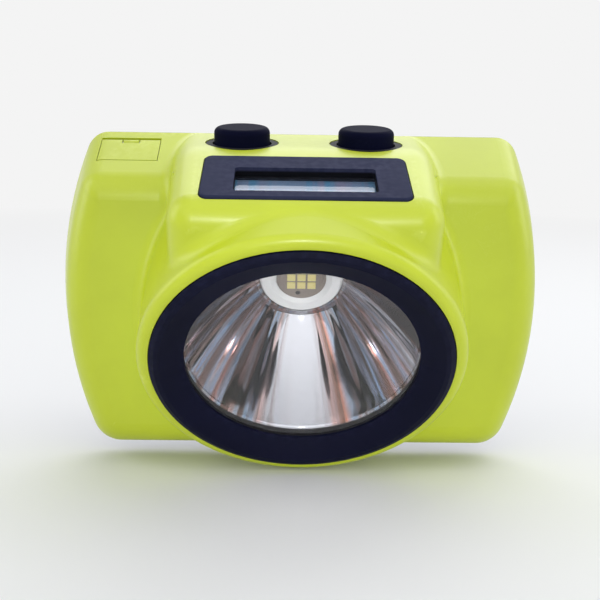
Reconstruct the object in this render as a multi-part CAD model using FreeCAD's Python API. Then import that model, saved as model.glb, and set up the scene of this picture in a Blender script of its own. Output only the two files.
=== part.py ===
import FreeCAD, Part
import math
import os
from FreeCAD import Vector

# A miner's cap lamp for the front of a helmet: a yellow shell with the light
# barrel and a small display, a rear cover with a helmet clip, and the optics,
# cells, boards and buttons inside. All sizes are in millimetres.
#
# Working frame: X to the right for someone facing the lamp, -Y out of the front,
# +Z up along the back. The parting plane of the two casings is y = 0. At the end
# every piece is moved so that the origin is the middle of the clip tongue's
# outer face, where the lamp lies against the helmet.

# Outline of the body, seen from the front
top_z = 29.6
half_width = 44.0
side_radius = 69.0
side_centre_z = 1.1
top_corner = 4.2
bottom_corner = 5.5
side_draft = 14.0

# Side profile of the flat wings
wing_slope = 30.0
wing_front_top = (-14.0, 21.5)
wing_bottom_y = -10.1
wing_bottom_rise = 2.8
wing_round = 5.0
wall = 2.2

# Housing block under the display and the buttons
block_half_back = 23.0
block_half_front = 21.2
rear_slope = 8.3
display_slope = 21.7
knee_y = -15.0
block_front_y = -34.8
block_round = 4.2
knee_round = 25.0
block_floor_z = 2.0
barrel_cover = 1.0

# Light barrel and its axis
beam_tilt = 31.7
ring_y = -24.75
ring_z = -8.3
rim_radius = 27.4
rim_set_back = 0.7
rim_round = 1.5
sleeve_wall = 1.3
ledge_thickness = 1.2
blend_radius = 2.4
barrel_reach = 45.0
sleeve_reach = 5.0
throat_length = 6.0

# Lens stack, depths measured back along the beam from the ring's front
bezel_radius = 25.2
bezel_flange = 3.6
bezel_lip = 2.6
window_radius = 19.6
cone_mouth = 23.6
skirt_wall = 1.6
lens_radius = 21.2
lens_thickness = 2.0
lens_edge = 0.3
lip_edge = 0.5
gasket_thickness = 0.8
reflector_flange = 1.0
reflector_depth = 18.1
reflector_mouth = 19.9
reflector_neck = 7.6
reflector_wall = 1.1
mirror_back_gap = 0.2
neck_length = 1.0
led_radius = 4.5
led_height = 1.3
led_cap_height = 0.4
led_cap_inset = 0.5
led_ring_height = 1.1
led_ring_edge = 0.3
led_ring_flare = (0.9, 0.6)
led_board_radius = 11.0
led_board_thickness = 1.6
led_screw_offset = 11.8
led_ear_half = (14.0, 3.0)
led_screw_length = 3.5

# Rear cover
flange_thickness = 1.4
pan_inset = 3.0
pan_depth = 6.0
cover_wall = 1.8
pan_top_z = 27.6
pan_bottom_z = -9.0
pan_foot_rise = 5.5
pan_lip = 5.0
cover_round = 1.6
seal_inset = 0.6
seal_width = 1.0
seal_depth = 0.7

# Screws
m2_shank = 0.95
m2_head = 1.9
m2_head_height = 1.3
m3_shank = 1.45
m3_head = 2.7
m2_drive_radius = 0.8
m2_drive_floor = 0.5
m3_drive_radius = 1.0
m3_drive_depth = 0.8
slot_half_width = 0.25
slot_floor = 0.7
thread_gap = 0.02
shank_end_gap = 0.4
tip_room = 0.5
post_radius = 2.6
boss_radius = 2.9
post_length = 20.0
cover_screw_grip = 6.5
cover_seat_y = 0.9
cover_seat_floor = 1.5
upper_screw = (23.4, 21.8)
lower_screw_inset = 10.4
lower_screw_rise = 6.7

# Helmet clip
clip_width = 22.0
clip_metal = 1.2
clip_gap = 3.0
clip_top_z = 24.0
plate_bottom_z = -13.5
tongue_bottom_z = -14.5
pad_margin = 1.6
pad_height = 1.5
pad_corner = 2.0
pad_top_drop = 1.0
clip_boss_front = 1.2
clip_hole_floor = 1.0
clip_screw_z = (-9.5, 20.4)
clip_boss_radius = 3.4
detent_radius = 2.6
detent_z = -7.0
tongue_corner = 3.0

# Display
display_y = -25.06
frame_half_width = 16.3
frame_half_depth = 7.45
frame_flange = 1.2
frame_proud = 0.3
frame_body_half_width = 14.0
frame_body_half_depth = 5.5
frame_body_depth = 2.3
frame_corner = 1.4
frame_edge_round = 0.25
view_middle = -1.3
view_half_width = 11.2
view_half_depth = 4.15
view_corner = 0.6
view_depth = 1.3
pane_margin = 0.8
pane_thickness = 0.8
foam_thickness = 0.4
module_half_width = 15.0
module_half_depth = 5.75
module_thickness = 1.5
glass_inset = 1.5
glass_thickness = 0.7
ribbon_width = 8.0
ribbon_thickness = 0.3
ribbon_bend = 1.4
ribbon_lean = 0.05
ribbon_foot_y = (-7.2, -5.6)

# Buttons
button_x = 10.7
button_y = -9.0
button_radius = 4.8
button_proud = 2.7
button_round = 1.0
button_travel = 0.8
collar_radius = 6.2
collar_depth = 1.0
collar_set_back = 0.1
button_flange_radius = 5.7
button_flange = 0.8
stem_radius = 1.5
switch_size = 6.0
switch_height = 3.5
plunger_radius = 1.7
plunger_length = 2.6
plunger_rise = 1.4
switch_floor_thickness = 0.3

# Boards
board_drop = 9.5
board_thickness = 1.2
board_half_width = 18.6
board_front = -15.0
board_back = 6.4
board_post_x = 17.0
board_posts_y = (-12.4, 4.6)
board_post_radius = 1.8
board_screw_length = 3.5
board_hole_past = 3.0

# Cells
cell_inner_x = 17.6
cell_side_gap = 7.0
cell_thickness = 7.6
cell_top_z = 14.5
cell_height = 30.5
room_below_cell = 12.5
lead_inset = 6.0
cell_lead_front = 2.2
cell_lead_inset = 2.0
cell_lead_lift = 0.8
cell_back_y = 0.0
cell_round = 1.2
pad_half_width = 7.5
pad_half_height = 9.0
pad_rise = 3.0
guard_thickness = 1.0
guard_length = 16.0
guard_width = 6.0

# Heat sink behind the light source
sink_half_width = 14.0
fin_gap = 1.4
fin_pitch = 3.4
fin_depth = 5.0
fin_count = 5
fin_root = 3.0
sink_hole_depth = 4.0
thermal_thickness = 0.6
thermal_half_width = 9.0
thermal_foot = 1.0
thermal_margin = 0.5

# Leads from the light source to the main board
led_lead_x = 2.4
led_lead_start = 0.5
led_lead_turn = 1.2
led_pad_y = -3.4

# Charging port in the left wing
port_inset = 13.2
port_y = -4.75
flap_half_width = 5.2
flap_front = 3.75
flap_gap = 0.2
flap_side_gap = 0.12
hinge_back = 2.6
flap_thickness = 1.3
hinge_pin_radius = 0.3
pin_reach = 3.6
ear_half_width = 1.4
port_floor = 1.3
port_box_side = 2.0
port_box_front = 1.5
port_box_back = 2.5
plug_half_width = 4.1
plug_half_depth = 1.3
plug_height = 0.6
plug_room = 0.5
socket_half_width = 4.47
socket_half_depth = 1.6
socket_length = 7.2
socket_wall = 0.35
socket_tongue = 0.7
socket_tongue_inset = 1.2
socket_tongue_back = 1.0
socket_floor = 1.0
socket_corner = 1.1
socket_inner_corner = 0.9
socket_mouth_corner = 1.2
socket_y = -0.6
charge_board_thickness = 1.0
charge_board_length = 9.4
charge_board_inset = 0.2
charge_lead_half_gap = 0.7
charge_lead_shift = 2.0
charge_lead_rise = 1.2
charge_lead_turn = 2.0
charge_pad = (2.2, -3.0)

# Clearances
fit = 0.15
running = 0.3
pin_fit = 0.05
wire_radius = 0.45
skin = 0.4
pin_press = 0.01
pin_end_gap = 0.1
board_pad_gap = 1.0

# Building: blanks are longer than needed, cutters run past what they cut, and
# edges are found by their place
blank = 5.0
wing_blank = 8.0
block_blank = (-10.0, 60.0)
far = 60.0
past = 1.0
overlap = 0.1
least_corner = 1.0
near = 0.01

# Sizes that follow from the ones above: the cells decide how far down the housing goes
cell_width = half_width - cell_side_gap - cell_inner_x
cell_bottom_z = cell_top_z - cell_height
bottom_z = cell_bottom_z - room_below_cell
wing_front_bottom = (wing_bottom_y, bottom_z + wing_bottom_rise)
pan_foot_z = bottom_z + pan_foot_rise
lower_screw = (half_width - lower_screw_inset, bottom_z + lower_screw_rise)
port_x = port_inset - half_width


class Tilted:
    """A working frame turned about X, with its origin in the middle plane."""

    def __init__(self, y, z, tilt):
        self.y = y
        self.z = z
        self.tilt = tilt

    def place(self, shape):
        moved = shape.copy()
        moved.rotate(Vector(0, 0, 0), Vector(1, 0, 0), self.tilt)
        moved.translate(Vector(0, self.y, self.z))
        return moved

    def point(self, x, y, z):
        turn = math.radians(self.tilt)
        across = y * math.cos(turn) - z * math.sin(turn)
        up = y * math.sin(turn) + z * math.cos(turn)
        return Vector(x, self.y + across, self.z + up)


def slope_drop(distance, angle):
    return distance * math.tan(math.radians(angle))


knee_z = top_z + slope_drop(knee_y, rear_slope)
display_z = knee_z + slope_drop(display_y - knee_y, display_slope)
button_z = top_z + slope_drop(button_y, rear_slope)
port_z = top_z + slope_drop(port_y, wing_slope)

# In the beam frame +Z points out of the lamp along the light.
beam = Tilted(ring_y, ring_z, 90 + beam_tilt)
display = Tilted(display_y, display_z, display_slope)
window_middle = display.point(0, view_middle, 0)
window = Tilted(window_middle.y, window_middle.z, display_slope)
buttons = Tilted(button_y, button_z, rear_slope)
port = Tilted(port_y, port_z, wing_slope)

# Depths along the beam
lens_front = -bezel_lip
lens_back = lens_front - lens_thickness
gasket_back = lens_back - gasket_thickness
reflector_front = gasket_back
ledge_front = reflector_front - reflector_flange
ledge_back = ledge_front - ledge_thickness
hole_plane = reflector_front - reflector_depth
led_board_front = hole_plane - neck_length
led_board_back = led_board_front - led_board_thickness
skirt_inner = lens_radius + fit
skirt_outer = skirt_inner + skirt_wall
bore_radius = skirt_outer + fit
sleeve_radius = bore_radius + sleeve_wall

# Depths of the clip behind the parting plane
pad_y = pan_depth + pad_height
plate_back_y = pad_y + clip_metal
tongue_front_y = plate_back_y + clip_gap
tongue_back_y = tongue_front_y + clip_metal
pan_inner_y = pan_depth - cover_wall
switch_floor = -board_drop + switch_floor_thickness
charge_board_y = socket_y + socket_half_depth
origin = Vector(0, tongue_back_y, (clip_top_z + tongue_bottom_z) / 2)


def cylinder(radius, low, high, x=0, y=0):
    return Part.makeCylinder(radius, high - low, Vector(x, y, low))


def ring(outer, inner, low, high, x=0, y=0):
    return cylinder(outer, low, high, x, y).cut(cylinder(inner, low - past, high + past, x, y))


def slab(half_x, low_y, high_y, low_z, high_z, x=0):
    size = (2 * half_x, high_y - low_y, high_z - low_z)
    return Part.makeBox(*size, Vector(x - half_x, low_y, low_z))


def post_along_y(radius, x, z, front, back):
    return Part.makeCylinder(radius, back - front, Vector(x, front, z), Vector(0, 1, 0))


def rounded_slab(half_x, half_y, low_z, high_z, corner, x=0, y=0):
    body = slab(half_x, y - half_y, y + half_y, low_z, high_z, x)
    upright = [edge for edge in body.Edges if is_parallel(edge, Vector(0, 0, 1))]
    return body.makeFillet(corner, upright)


def is_parallel(edge, direction):
    if edge.Curve.TypeId != "Part::GeomLine":
        return False
    along = edge.tangentAt(edge.FirstParameter)
    return along.cross(direction).Length < 1e-6


def side_prism(points, half_x):
    """Extrude a closed outline given in (y, z) along X."""
    corners = [Vector(-half_x, y, z) for y, z in points]
    face = Part.Face(Part.makePolygon(corners + corners[:1]))
    return face.extrude(Vector(2 * half_x, 0, 0))


def meet(line_a, line_b):
    """Where two lines, each a point and a direction in (y, z), cross."""
    (ay, az), (ady, adz) = line_a
    (by, bz), (bdy, bdz) = line_b
    along = ((by - ay) * bdz - (bz - az) * bdy) / (ady * bdz - adz * bdy)
    return (ay + along * ady, az + along * adz)


def line_through(start, end, inset):
    """The line from start to end, moved to its right by inset."""
    dy, dz = end[0] - start[0], end[1] - start[1]
    length = math.hypot(dy, dz)
    return ((start[0] + inset * dz / length, start[1] - inset * dy / length), (dy, dz))


def side_x(z, inset):
    reach = side_radius - inset
    centre = half_width - side_radius
    return centre + math.sqrt(reach ** 2 - (z - side_centre_z) ** 2)


def outline_prism(inset, front, back):
    """The body's outline, drawn in by inset, between two depths."""
    high, low = top_z - inset, bottom_z + inset
    x_high, x_low = side_x(high, inset), side_x(low, inset)
    x_wide = half_width - inset
    corners = [
        Vector(-x_high, front, high),
        Vector(x_high, front, high),
        Vector(x_low, front, low),
        Vector(-x_low, front, low),
    ]
    edges = [
        Part.makeLine(corners[0], corners[1]),
        Part.Arc(corners[1], Vector(x_wide, front, side_centre_z), corners[2]).toShape(),
        Part.makeLine(corners[2], corners[3]),
        Part.Arc(corners[3], Vector(-x_wide, front, side_centre_z), corners[0]).toShape(),
    ]
    solid = Part.Face(Part.Wire(edges)).extrude(Vector(0, back - front, 0))
    return round_corners(solid, max(top_corner - inset, least_corner),
                         max(bottom_corner - inset, least_corner))


def leaning_side(side, inset, front, back):
    """A wide cone whose skin is one side of the wings, leaning in towards the front."""
    radii = [side_radius - inset + slope_drop(depth, side_draft) for depth in (front, back)]
    centre = Vector(side * (half_width - side_radius), front, side_centre_z)
    return Part.makeCone(*radii, back - front, centre, Vector(0, 1, 0))


def round_corners(body, top_radius, bottom_radius):
    """Round the four corners where the curved sides meet the top and the bottom."""
    body = body.makeFillet(top_radius, corner_edges(body, 1))
    return body.makeFillet(bottom_radius, corner_edges(body, -1))


def corner_edges(body, side):
    """Edges that run from front to back in the top or the bottom corners."""
    found = []
    for edge in body.Edges:
        start, end = edge.Vertexes[0].Point, edge.Vertexes[-1].Point
        depth = abs(end.y - start.y)
        lengthwise = depth > 0.8 * edge.Length - 0.01 and depth > 0.5 * body.BoundBox.YLength
        outside = abs(edge.CenterOfMass.x) > 0.7 * half_width
        if lengthwise and outside and edge.CenterOfMass.z * side > 0:
            found.append(edge)
    return sorted(found, key=lambda edge: -abs(edge.CenterOfMass.z))[:2]


def wing_profile(inset, back):
    """Side profile of the wings in (y, z), open at the back."""
    slope = math.radians(wing_slope)
    top = line_through((0, top_z), (-math.cos(slope), top_z - math.sin(slope)), -inset)
    front = line_through(wing_front_top, wing_front_bottom, -inset)
    under = line_through(wing_front_bottom, (0, bottom_z), -inset)
    rear = ((back, 0), (0, 1))
    return [meet(rear, top), meet(top, front), meet(front, under), meet(under, rear)]


def block_profile(inset, back):
    """Side profile of the block under the display in (y, z)."""
    fall = math.radians(display_slope)
    front_z = knee_z + slope_drop(block_front_y - knee_y, display_slope)
    front_point = (block_front_y, front_z)
    rear = ((back, 0), (0, 1))
    floor = ((0, block_floor_z + inset), (1, 0))
    behind = line_through((0, top_z), (knee_y, knee_z), -inset)
    over = line_through((knee_y, knee_z), front_point, -inset)
    down = (block_front_y + math.sin(fall), front_z - math.cos(fall))
    face = line_through(front_point, down, -inset)
    return [meet(rear, behind), meet(behind, over), meet(over, face), meet(face, floor),
            meet(floor, rear)]


def block_plan(inset):
    """The block's outline from above, narrower at the front."""
    back, front = blank, block_front_y - blank
    spread = (block_half_back - block_half_front) / -block_front_y
    wide = block_half_back + spread * back - inset
    narrow = block_half_back + spread * front - inset
    corners = [(-wide, back), (wide, back), (narrow, front), (-narrow, front)]
    low, height = block_blank
    points = [Vector(x, y, low) for x, y in corners]
    return Part.Face(Part.makePolygon(points + points[:1])).extrude(Vector(0, 0, height))


def block(inset, back):
    sides = side_prism(block_profile(inset, back), half_width)
    return sides.common(block_plan(inset))


def wing(inset, back):
    sides = side_prism(wing_profile(inset, back), half_width + blank)
    front = wing_front_top[0] - wing_blank
    for side in (-1, 1):
        sides = sides.common(leaning_side(side, inset, front, back + past))
    return sides


def rounded_wing():
    body = round_corners(wing(0, 0), top_corner, bottom_corner)
    front = [face for face in body.Faces if face.CenterOfMass.y < wing_front_bottom[0] - 0.5]
    front = max(front, key=lambda face: face.Area)
    return body.makeFillet(wing_round, front.Edges)


def block_top(y):
    if y > knee_y:
        return top_z + slope_drop(y, rear_slope)
    return knee_z + slope_drop(y - knee_y, display_slope)


def is_soft_edge(edge):
    """The block's free edges: along its top at the sides and front, and down its corners."""
    middle = edge.CenterOfMass
    across = abs(edge.tangentAt(edge.FirstParameter).x) > 0.5
    on_top = middle.z > block_top(middle.y) - 0.8
    if across:
        return on_top and middle.y < block_front_y + 1
    corner = middle.z > block_floor_z + 1 and middle.y < block_front_y / 2
    return middle.y < -0.5 and (on_top or corner)


def rounded_block():
    body = block(0, 0)
    knee = [edge for edge in body.Edges
            if abs(edge.CenterOfMass.y - knee_y) < near and abs(edge.CenterOfMass.x) < near]
    body = body.makeFillet(knee_round, knee)
    return body.makeFillet(block_round, [edge for edge in body.Edges if is_soft_edge(edge)])


def barrel():
    """The light barrel's outside, kept under the block's top."""
    body = cylinder(rim_radius, -barrel_reach, -rim_set_back)
    body.rotate(Vector(0, 0, 0), Vector(0, 0, 1), 90)
    lip = [edge for edge in body.Edges if abs(edge.CenterOfMass.z + rim_set_back) < near]
    body = beam.place(body.makeFillet(rim_round, lip[:1]))
    under = block_profile(barrel_cover, 0)
    keep = [(0, under[0][1]), under[1], under[2], (-far, under[2][1]), (-far, -far), (0, -far)]
    return body.common(side_prism(keep, half_width))


def face_normal(face, point):
    u, v = face.Surface.parameter(point)
    return face.normalAt(u, v)


def junctions(body):
    """The hollow edges where the block and the barrel meet the wings and each other."""
    found = []
    out, back = 0.02, 0.05
    for edge in body.Edges:
        point = edge.valueAt((edge.FirstParameter + edge.LastParameter) / 2)
        if abs(point.x) > rim_radius or point.y > -0.5:
            continue
        faces = [face for face in body.Faces if any(own.isSame(edge) for own in face.Edges)]
        if len(faces) != 2:
            continue
        one, two = [face_normal(face, point) for face in faces]
        if one.cross(two).Length < 0.05:
            continue
        probe = point + one * out - two * back
        other = point + two * out - one * back
        if body.isInside(probe, 1e-6, True) and body.isInside(other, 1e-6, True):
            found.append(edge)
    return found


def front_outside():
    body = rounded_wing().fuse([rounded_block(), barrel()]).removeSplitter()
    return body.makeFillet(blend_radius, junctions(body))


def beam_cone(low, low_radius, high, high_radius):
    cone = Part.makeCone(low_radius, high_radius, high - low, Vector(0, 0, low))
    return beam.place(cone)


def inner_space():
    """The hollow inside the front shell, without the bores for the lens stack."""
    space = wing(wall, past).fuse(block(wall, past))
    space = space.cut(beam.place(cylinder(sleeve_radius, ledge_back, sleeve_reach)))
    back_radius = reflector_mouth + reflector_wall + running
    throat = ledge_back - throat_length
    space = space.fuse(beam.place(cylinder(back_radius, throat, ledge_back)))
    return space.fuse(beam_cone(led_board_front, led_board_radius, throat, back_radius))


def lens_bores():
    flange_seat = cylinder(bezel_radius + fit, -bezel_flange, sleeve_reach)
    bore = cylinder(bore_radius, ledge_front, sleeve_reach)
    throat = cylinder(reflector_mouth + reflector_wall + running, ledge_back - past, sleeve_reach)
    return beam.place(flange_seat.fuse([bore, throat]))


def display_hole():
    flange = rounded_slab(frame_half_width + fit, frame_half_depth + fit, -frame_flange, past, frame_corner)
    body = slab(frame_body_half_width + fit, -frame_body_half_depth - fit,
                frame_body_half_depth + fit, -frame_body_depth, 0)
    return display.place(flange).fuse(window.place(body))


def button_holes():
    cuts = []
    for x in (-button_x, button_x):
        shaft = cylinder(button_radius + running, -wall - past, past, x)
        cuts += [shaft, cylinder(collar_radius + fit, -collar_depth, past, x)]
    return [buttons.place(cut) for cut in cuts]


def board_posts():
    posts = []
    for x in (-board_post_x, board_post_x):
        for y in board_posts_y:
            posts.append(buttons.place(cylinder(board_post_radius, -board_drop, -wall / 2, x, y)))
    return [post.common(block(0.5, 0)) for post in posts]


def board_post_holes():
    holes = []
    for x in (-board_post_x, board_post_x):
        for y in board_posts_y:
            holes.append(buttons.place(cylinder(m2_shank, -board_drop - past, -wall - past, x, y)))
    return holes


def screw_places():
    places = []
    for side in (-1, 1):
        places.append((side * upper_screw[0], upper_screw[1]))
        places.append((side * lower_screw[0], lower_screw[1]))
    return places


def cover_posts():
    """Screw posts, cut off just inside the outer skin."""
    body = rounded_wing()
    body.translate(Vector(0, skin, 0))
    body = body.fuse(block(skin, 0))
    posts = [post_along_y(post_radius, x, z, -post_length, 0) for x, z in screw_places()]
    return [post.common(body) for post in posts]


def cover_post_holes():
    return [post_along_y(m2_shank, x, z, -cover_screw_grip, past) for x, z in screw_places()]


def port_box():
    """Thick floor under the charging flap, inside the wing's top."""
    depth = flap_thickness + flap_gap + port_floor
    body = slab(flap_half_width + port_box_side, -flap_front - port_box_front,
                hinge_back + port_box_back, -depth, 0, port_x)
    inside = rounded_wing()
    inside.translate(Vector(skin, 0, -skin))
    return port.place(body).common(inside)


def hinge_pin(radius, left, right):
    """A rod on the flap's hinge, from left to right of the port's middle."""
    start = Vector(port_x + left, hinge_back, -flap_thickness / 2)
    return Part.makeCylinder(radius, right - left, start, Vector(1, 0, 0))


def hinge_ear():
    """The shell's round ear between the flap's two knuckles."""
    radius = flap_thickness / 2
    web = slab(ear_half_width, hinge_back - radius, hinge_back + radius,
               -flap_thickness - past, -radius, port_x)
    ear = hinge_pin(radius, -ear_half_width, ear_half_width).fuse(web)
    hole = hinge_pin(hinge_pin_radius, -ear_half_width - past, ear_half_width + past)
    return port.place(ear.cut(hole))


def port_cuts():
    half_x = flap_half_width + flap_side_gap
    back = hinge_back + flap_thickness / 2 + flap_gap
    depth = flap_thickness + flap_gap
    pocket = slab(half_x, -flap_front - flap_gap, back, -depth, past, port_x)
    mouth_x, mouth_y = socket_half_width + fit, socket_half_depth + fit
    mouth = rounded_slab(mouth_x, mouth_y, -depth - port_floor - past, -depth + past,
                         socket_mouth_corner, port_x, socket_y)
    room_y = plug_half_depth + plug_room
    room = slab(plug_half_width + plug_room, socket_y - room_y, socket_y + room_y,
                -depth - plug_height - running, -depth + past, port_x)
    return [port.place(cut) for cut in (pocket, mouth, room)]


def seal_ring(front, back):
    outside = outline_prism(seal_inset, front, back)
    return outside.cut(outline_prism(seal_inset + seal_width, front - past, back + past))


def front_shell():
    body = front_outside().cut(inner_space())
    body = body.fuse(board_posts() + cover_posts() + [port_box()])
    cuts = [lens_bores(), display_hole(), seal_ring(-seal_depth, past)]
    cuts += button_holes() + board_post_holes() + cover_post_holes() + port_cuts()
    return body.cut(cuts).fuse(hinge_ear())


def pan_profile(inset):
    """Side profile of the rear cover's pan in (y, z)."""
    depth = pan_depth - inset
    high = pan_top_z - inset
    return [(-blank, high), (flange_thickness, high), (depth, pan_top_z - pan_lip), (depth, pan_bottom_z),
            (flange_thickness - inset, pan_foot_z + inset), (-blank, pan_foot_z + inset)]


def pan(inset, front):
    sides = side_prism(pan_profile(inset), half_width + blank)
    return sides.common(outline_prism(pan_inset + inset, front, pan_depth + past))


def rear_cover():
    """Flange all round, a shallow pan over the cells, and a raised pad for the clip."""
    outside = pan(0, 0)
    rim = [edge for edge in outside.Edges if edge.BoundBox.YMin > flange_thickness + near]
    outside = outside.makeFillet(cover_round, rim)
    body = outline_prism(0, 0, flange_thickness).fuse(outside)
    pad_half_x = clip_width / 2 + pad_margin
    pad = slab(pad_half_x, pan_depth - past, pad_y, plate_bottom_z - pad_margin, clip_top_z - pad_top_drop)
    uprights = [edge for edge in pad.Edges if is_parallel(edge, Vector(0, 1, 0))]
    body = body.fuse(pad.makeFillet(pad_corner, uprights))
    body = body.cut(pan(cover_wall, -past))
    bosses = [post_along_y(clip_boss_radius, 0, z, clip_boss_front, pad_y - overlap) for z in clip_screw_z]
    for x, z in screw_places():
        bosses.append(post_along_y(boss_radius, x, z, 0, pan_depth).common(outside))
        bosses.append(post_along_y(boss_radius, x, z, 0, cover_seat_y + cover_seat_floor))
    body = body.fuse(bosses)
    hole_front = clip_boss_front + clip_hole_floor
    cuts = [post_along_y(m3_shank, 0, z, hole_front, pad_y + past) for z in clip_screw_z]
    for x, z in screw_places():
        cuts.append(post_along_y(m2_shank + fit, x, z, -past, far))
        cuts.append(post_along_y(m2_head + fit, x, z, cover_seat_y, far))
    return body.cut(cuts)


def housing_seal():
    return seal_ring(-seal_depth, 0)


def cover_screws():
    screws = []
    for x, z in screw_places():
        shank = post_along_y(m2_shank - thread_gap, x, z, -cover_screw_grip + tip_room, cover_seat_y)
        head = post_along_y(m2_head, x, z, cover_seat_y, cover_seat_y + m2_head_height)
        socket = post_along_y(m2_drive_radius, x, z, cover_seat_y + m2_drive_floor, far)
        screws.append(shank.fuse(head).cut(socket))
    return Part.makeCompound(screws)


def beam_turned(points):
    """Turn a closed (radius, depth) outline about the beam's axis."""
    corners = [Vector(radius, 0, depth) for radius, depth in points]
    face = Part.Face(Part.makePolygon(corners + corners[:1]))
    return beam.place(face.revolve(Vector(0, 0, 0), Vector(0, 0, 1), 360))


def bezel_ring():
    land = (bezel_radius - cone_mouth) / 2
    outline = [
        (cone_mouth, 0), (bezel_radius - land, 0), (bezel_radius, -land / 2), (bezel_radius, -bezel_flange),
        (skirt_outer, -bezel_flange), (skirt_outer, ledge_front + running),
        (skirt_inner, ledge_front + running), (skirt_inner, lens_front),
        (window_radius, lens_front), (window_radius, lens_front + lip_edge),
    ]
    return beam_turned(outline)


def lens():
    slim = lens_radius - lens_edge
    outline = [(0, lens_front), (slim, lens_front), (lens_radius, lens_front - lens_edge),
               (lens_radius, lens_back + lens_edge), (slim, lens_back), (0, lens_back)]
    return beam_turned(outline)


def lens_gasket():
    return beam.place(ring(lens_radius, reflector_mouth, gasket_back, lens_back))


def reflector_radius(depth):
    """Inside radius of the parabolic mirror at a depth along the beam."""
    share = (depth - hole_plane) / reflector_depth
    return math.sqrt(reflector_neck ** 2 + share * (reflector_mouth ** 2 - reflector_neck ** 2))


def reflector():
    steps = 6
    inner, outer = [], []
    for step in range(steps + 1):
        depth = hole_plane + reflector_depth * step / steps
        inner.append(Vector(reflector_radius(depth), 0, depth))
        outer.append(Vector(reflector_radius(depth) + reflector_wall, 0, depth))
    outer = [point for point in outer if point.z < ledge_back - mirror_back_gap]
    outer.append(Vector(reflector_radius(ledge_front) + reflector_wall, 0, ledge_front))
    mirror = Part.BSplineCurve()
    mirror.interpolate(inner)
    back = Part.BSplineCurve()
    back.interpolate(outer)
    neck_wall = reflector_neck + reflector_wall
    corners = [inner[-1], Vector(lens_radius, 0, reflector_front), Vector(lens_radius, 0, ledge_front),
               outer[-1]]
    foot = [outer[0], Vector(neck_wall, 0, led_board_front), Vector(reflector_neck, 0, led_board_front),
            inner[0]]
    edges = [mirror.toShape(), back.toShape()]
    edges += [Part.makeLine(a, b) for a, b in zip(corners, corners[1:])]
    edges += [Part.makeLine(a, b) for a, b in zip(foot, foot[1:])]
    face = Part.Face(Part.Wire(Part.__sortEdges__(edges)))
    return beam.place(face.revolve(Vector(0, 0, 0), Vector(0, 0, 1), 360))


def led_centring_ring():
    top = led_board_front + led_ring_height
    inner, outer = led_radius + fit, reflector_neck - fit
    flare_x, flare_z = led_ring_flare
    outline = [(inner, led_board_front), (outer, led_board_front), (outer, top - led_ring_edge),
               (outer - led_ring_edge, top), (inner + flare_x, top), (inner, top - flare_z)]
    return beam_turned(outline)


def main_led():
    base = cylinder(led_radius, led_board_front, led_board_front + led_height - led_cap_height)
    cap = cylinder(led_radius - led_cap_inset, led_board_front, led_board_front + led_height)
    return beam.place(base.fuse(cap))


def led_board():
    ear_x, ear_y = led_ear_half
    body = cylinder(led_board_radius, led_board_back, led_board_front)
    body = body.fuse(slab(ear_x, -ear_y, ear_y, led_board_back, led_board_front)).removeSplitter()
    for x in (-led_screw_offset, led_screw_offset):
        body = body.cut(cylinder(m2_shank + fit, led_board_back - past, led_board_front + past, x))
    return beam.place(body)


def led_board_screws():
    screws = []
    for x in (-led_screw_offset, led_screw_offset):
        shank = cylinder(m2_shank - thread_gap, led_board_back - led_screw_length, led_board_front, x)
        head = cylinder(m2_head, led_board_front, led_board_front + m2_head_height, x)
        slot = slab(m2_head + past, -slot_half_width, slot_half_width,
                    led_board_front + slot_floor, led_board_front + m2_head_height + past, x)
        screws.append(beam.place(shank.fuse(head).cut(slot)))
    return Part.makeCompound(screws)


def heat_sink():
    low = beam.point(0, -led_board_radius, led_board_back)
    high = beam.point(0, led_board_radius, led_board_back)
    back = pan_inner_y - thermal_thickness
    outline = [(low.y, low.z), (high.y, high.z), (back, high.z), (back, low.z)]
    body = side_prism(outline, sink_half_width)
    for step in range(fin_count):
        x = (step - (fin_count - 1) / 2) * fin_pitch
        body = body.cut(slab(fin_gap / 2, high.y + fin_root, back + past,
                             high.z - fin_depth, high.z + past, x))
    holes = [beam.place(cylinder(m2_shank, led_board_back - sink_hole_depth, led_board_back + past, x))
             for x in (-led_screw_offset, led_screw_offset)]
    return body.cut(holes)


def thermal_pad():
    low = beam.point(0, -led_board_radius, led_board_back).z + thermal_foot
    high = beam.point(0, led_board_radius, led_board_back).z - fin_depth - thermal_margin
    return slab(thermal_half_width, pan_inner_y - thermal_thickness, pan_inner_y, low, high)


def display_bezel():
    flange = rounded_slab(frame_half_width, frame_half_depth, -frame_flange, frame_proud, frame_corner)
    top = [edge for edge in flange.Edges if abs(edge.CenterOfMass.z - frame_proud) < near]
    flange = flange.makeFillet(frame_edge_round, top)
    body = slab(frame_body_half_width, -frame_body_half_depth, frame_body_half_depth,
                -frame_body_depth, -frame_flange)
    solid = display.place(flange).fuse(window.place(body))
    view = rounded_slab(view_half_width, view_half_depth, -blank, past, view_corner)
    rebate = slab(view_half_width + pane_margin + fit, -view_half_depth - pane_margin - fit,
                  view_half_depth + pane_margin + fit, -blank, -view_depth)
    return solid.cut([window.place(view), window.place(rebate)])


def display_window():
    half_x, half_y = view_half_width + pane_margin, view_half_depth + pane_margin
    return window.place(slab(half_x, -half_y, half_y, -view_depth - pane_thickness, -view_depth))


def display_gasket():
    top = -view_depth - pane_thickness
    half_x, half_y = view_half_width + pane_margin, view_half_depth + pane_margin
    body = slab(half_x, -half_y, half_y, top - foam_thickness, top)
    return window.place(body.cut(slab(view_half_width, -view_half_depth, view_half_depth, -blank, 0)))


def module_top():
    return -view_depth - pane_thickness - foam_thickness


def display_module():
    top = module_top()
    seam = top - glass_thickness
    glass = slab(module_half_width - glass_inset, -module_half_depth, module_half_depth, seam, top)
    carrier = slab(module_half_width, -module_half_depth, module_half_depth,
                   top - module_thickness, seam)
    return window.place(glass.fuse(carrier))


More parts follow.
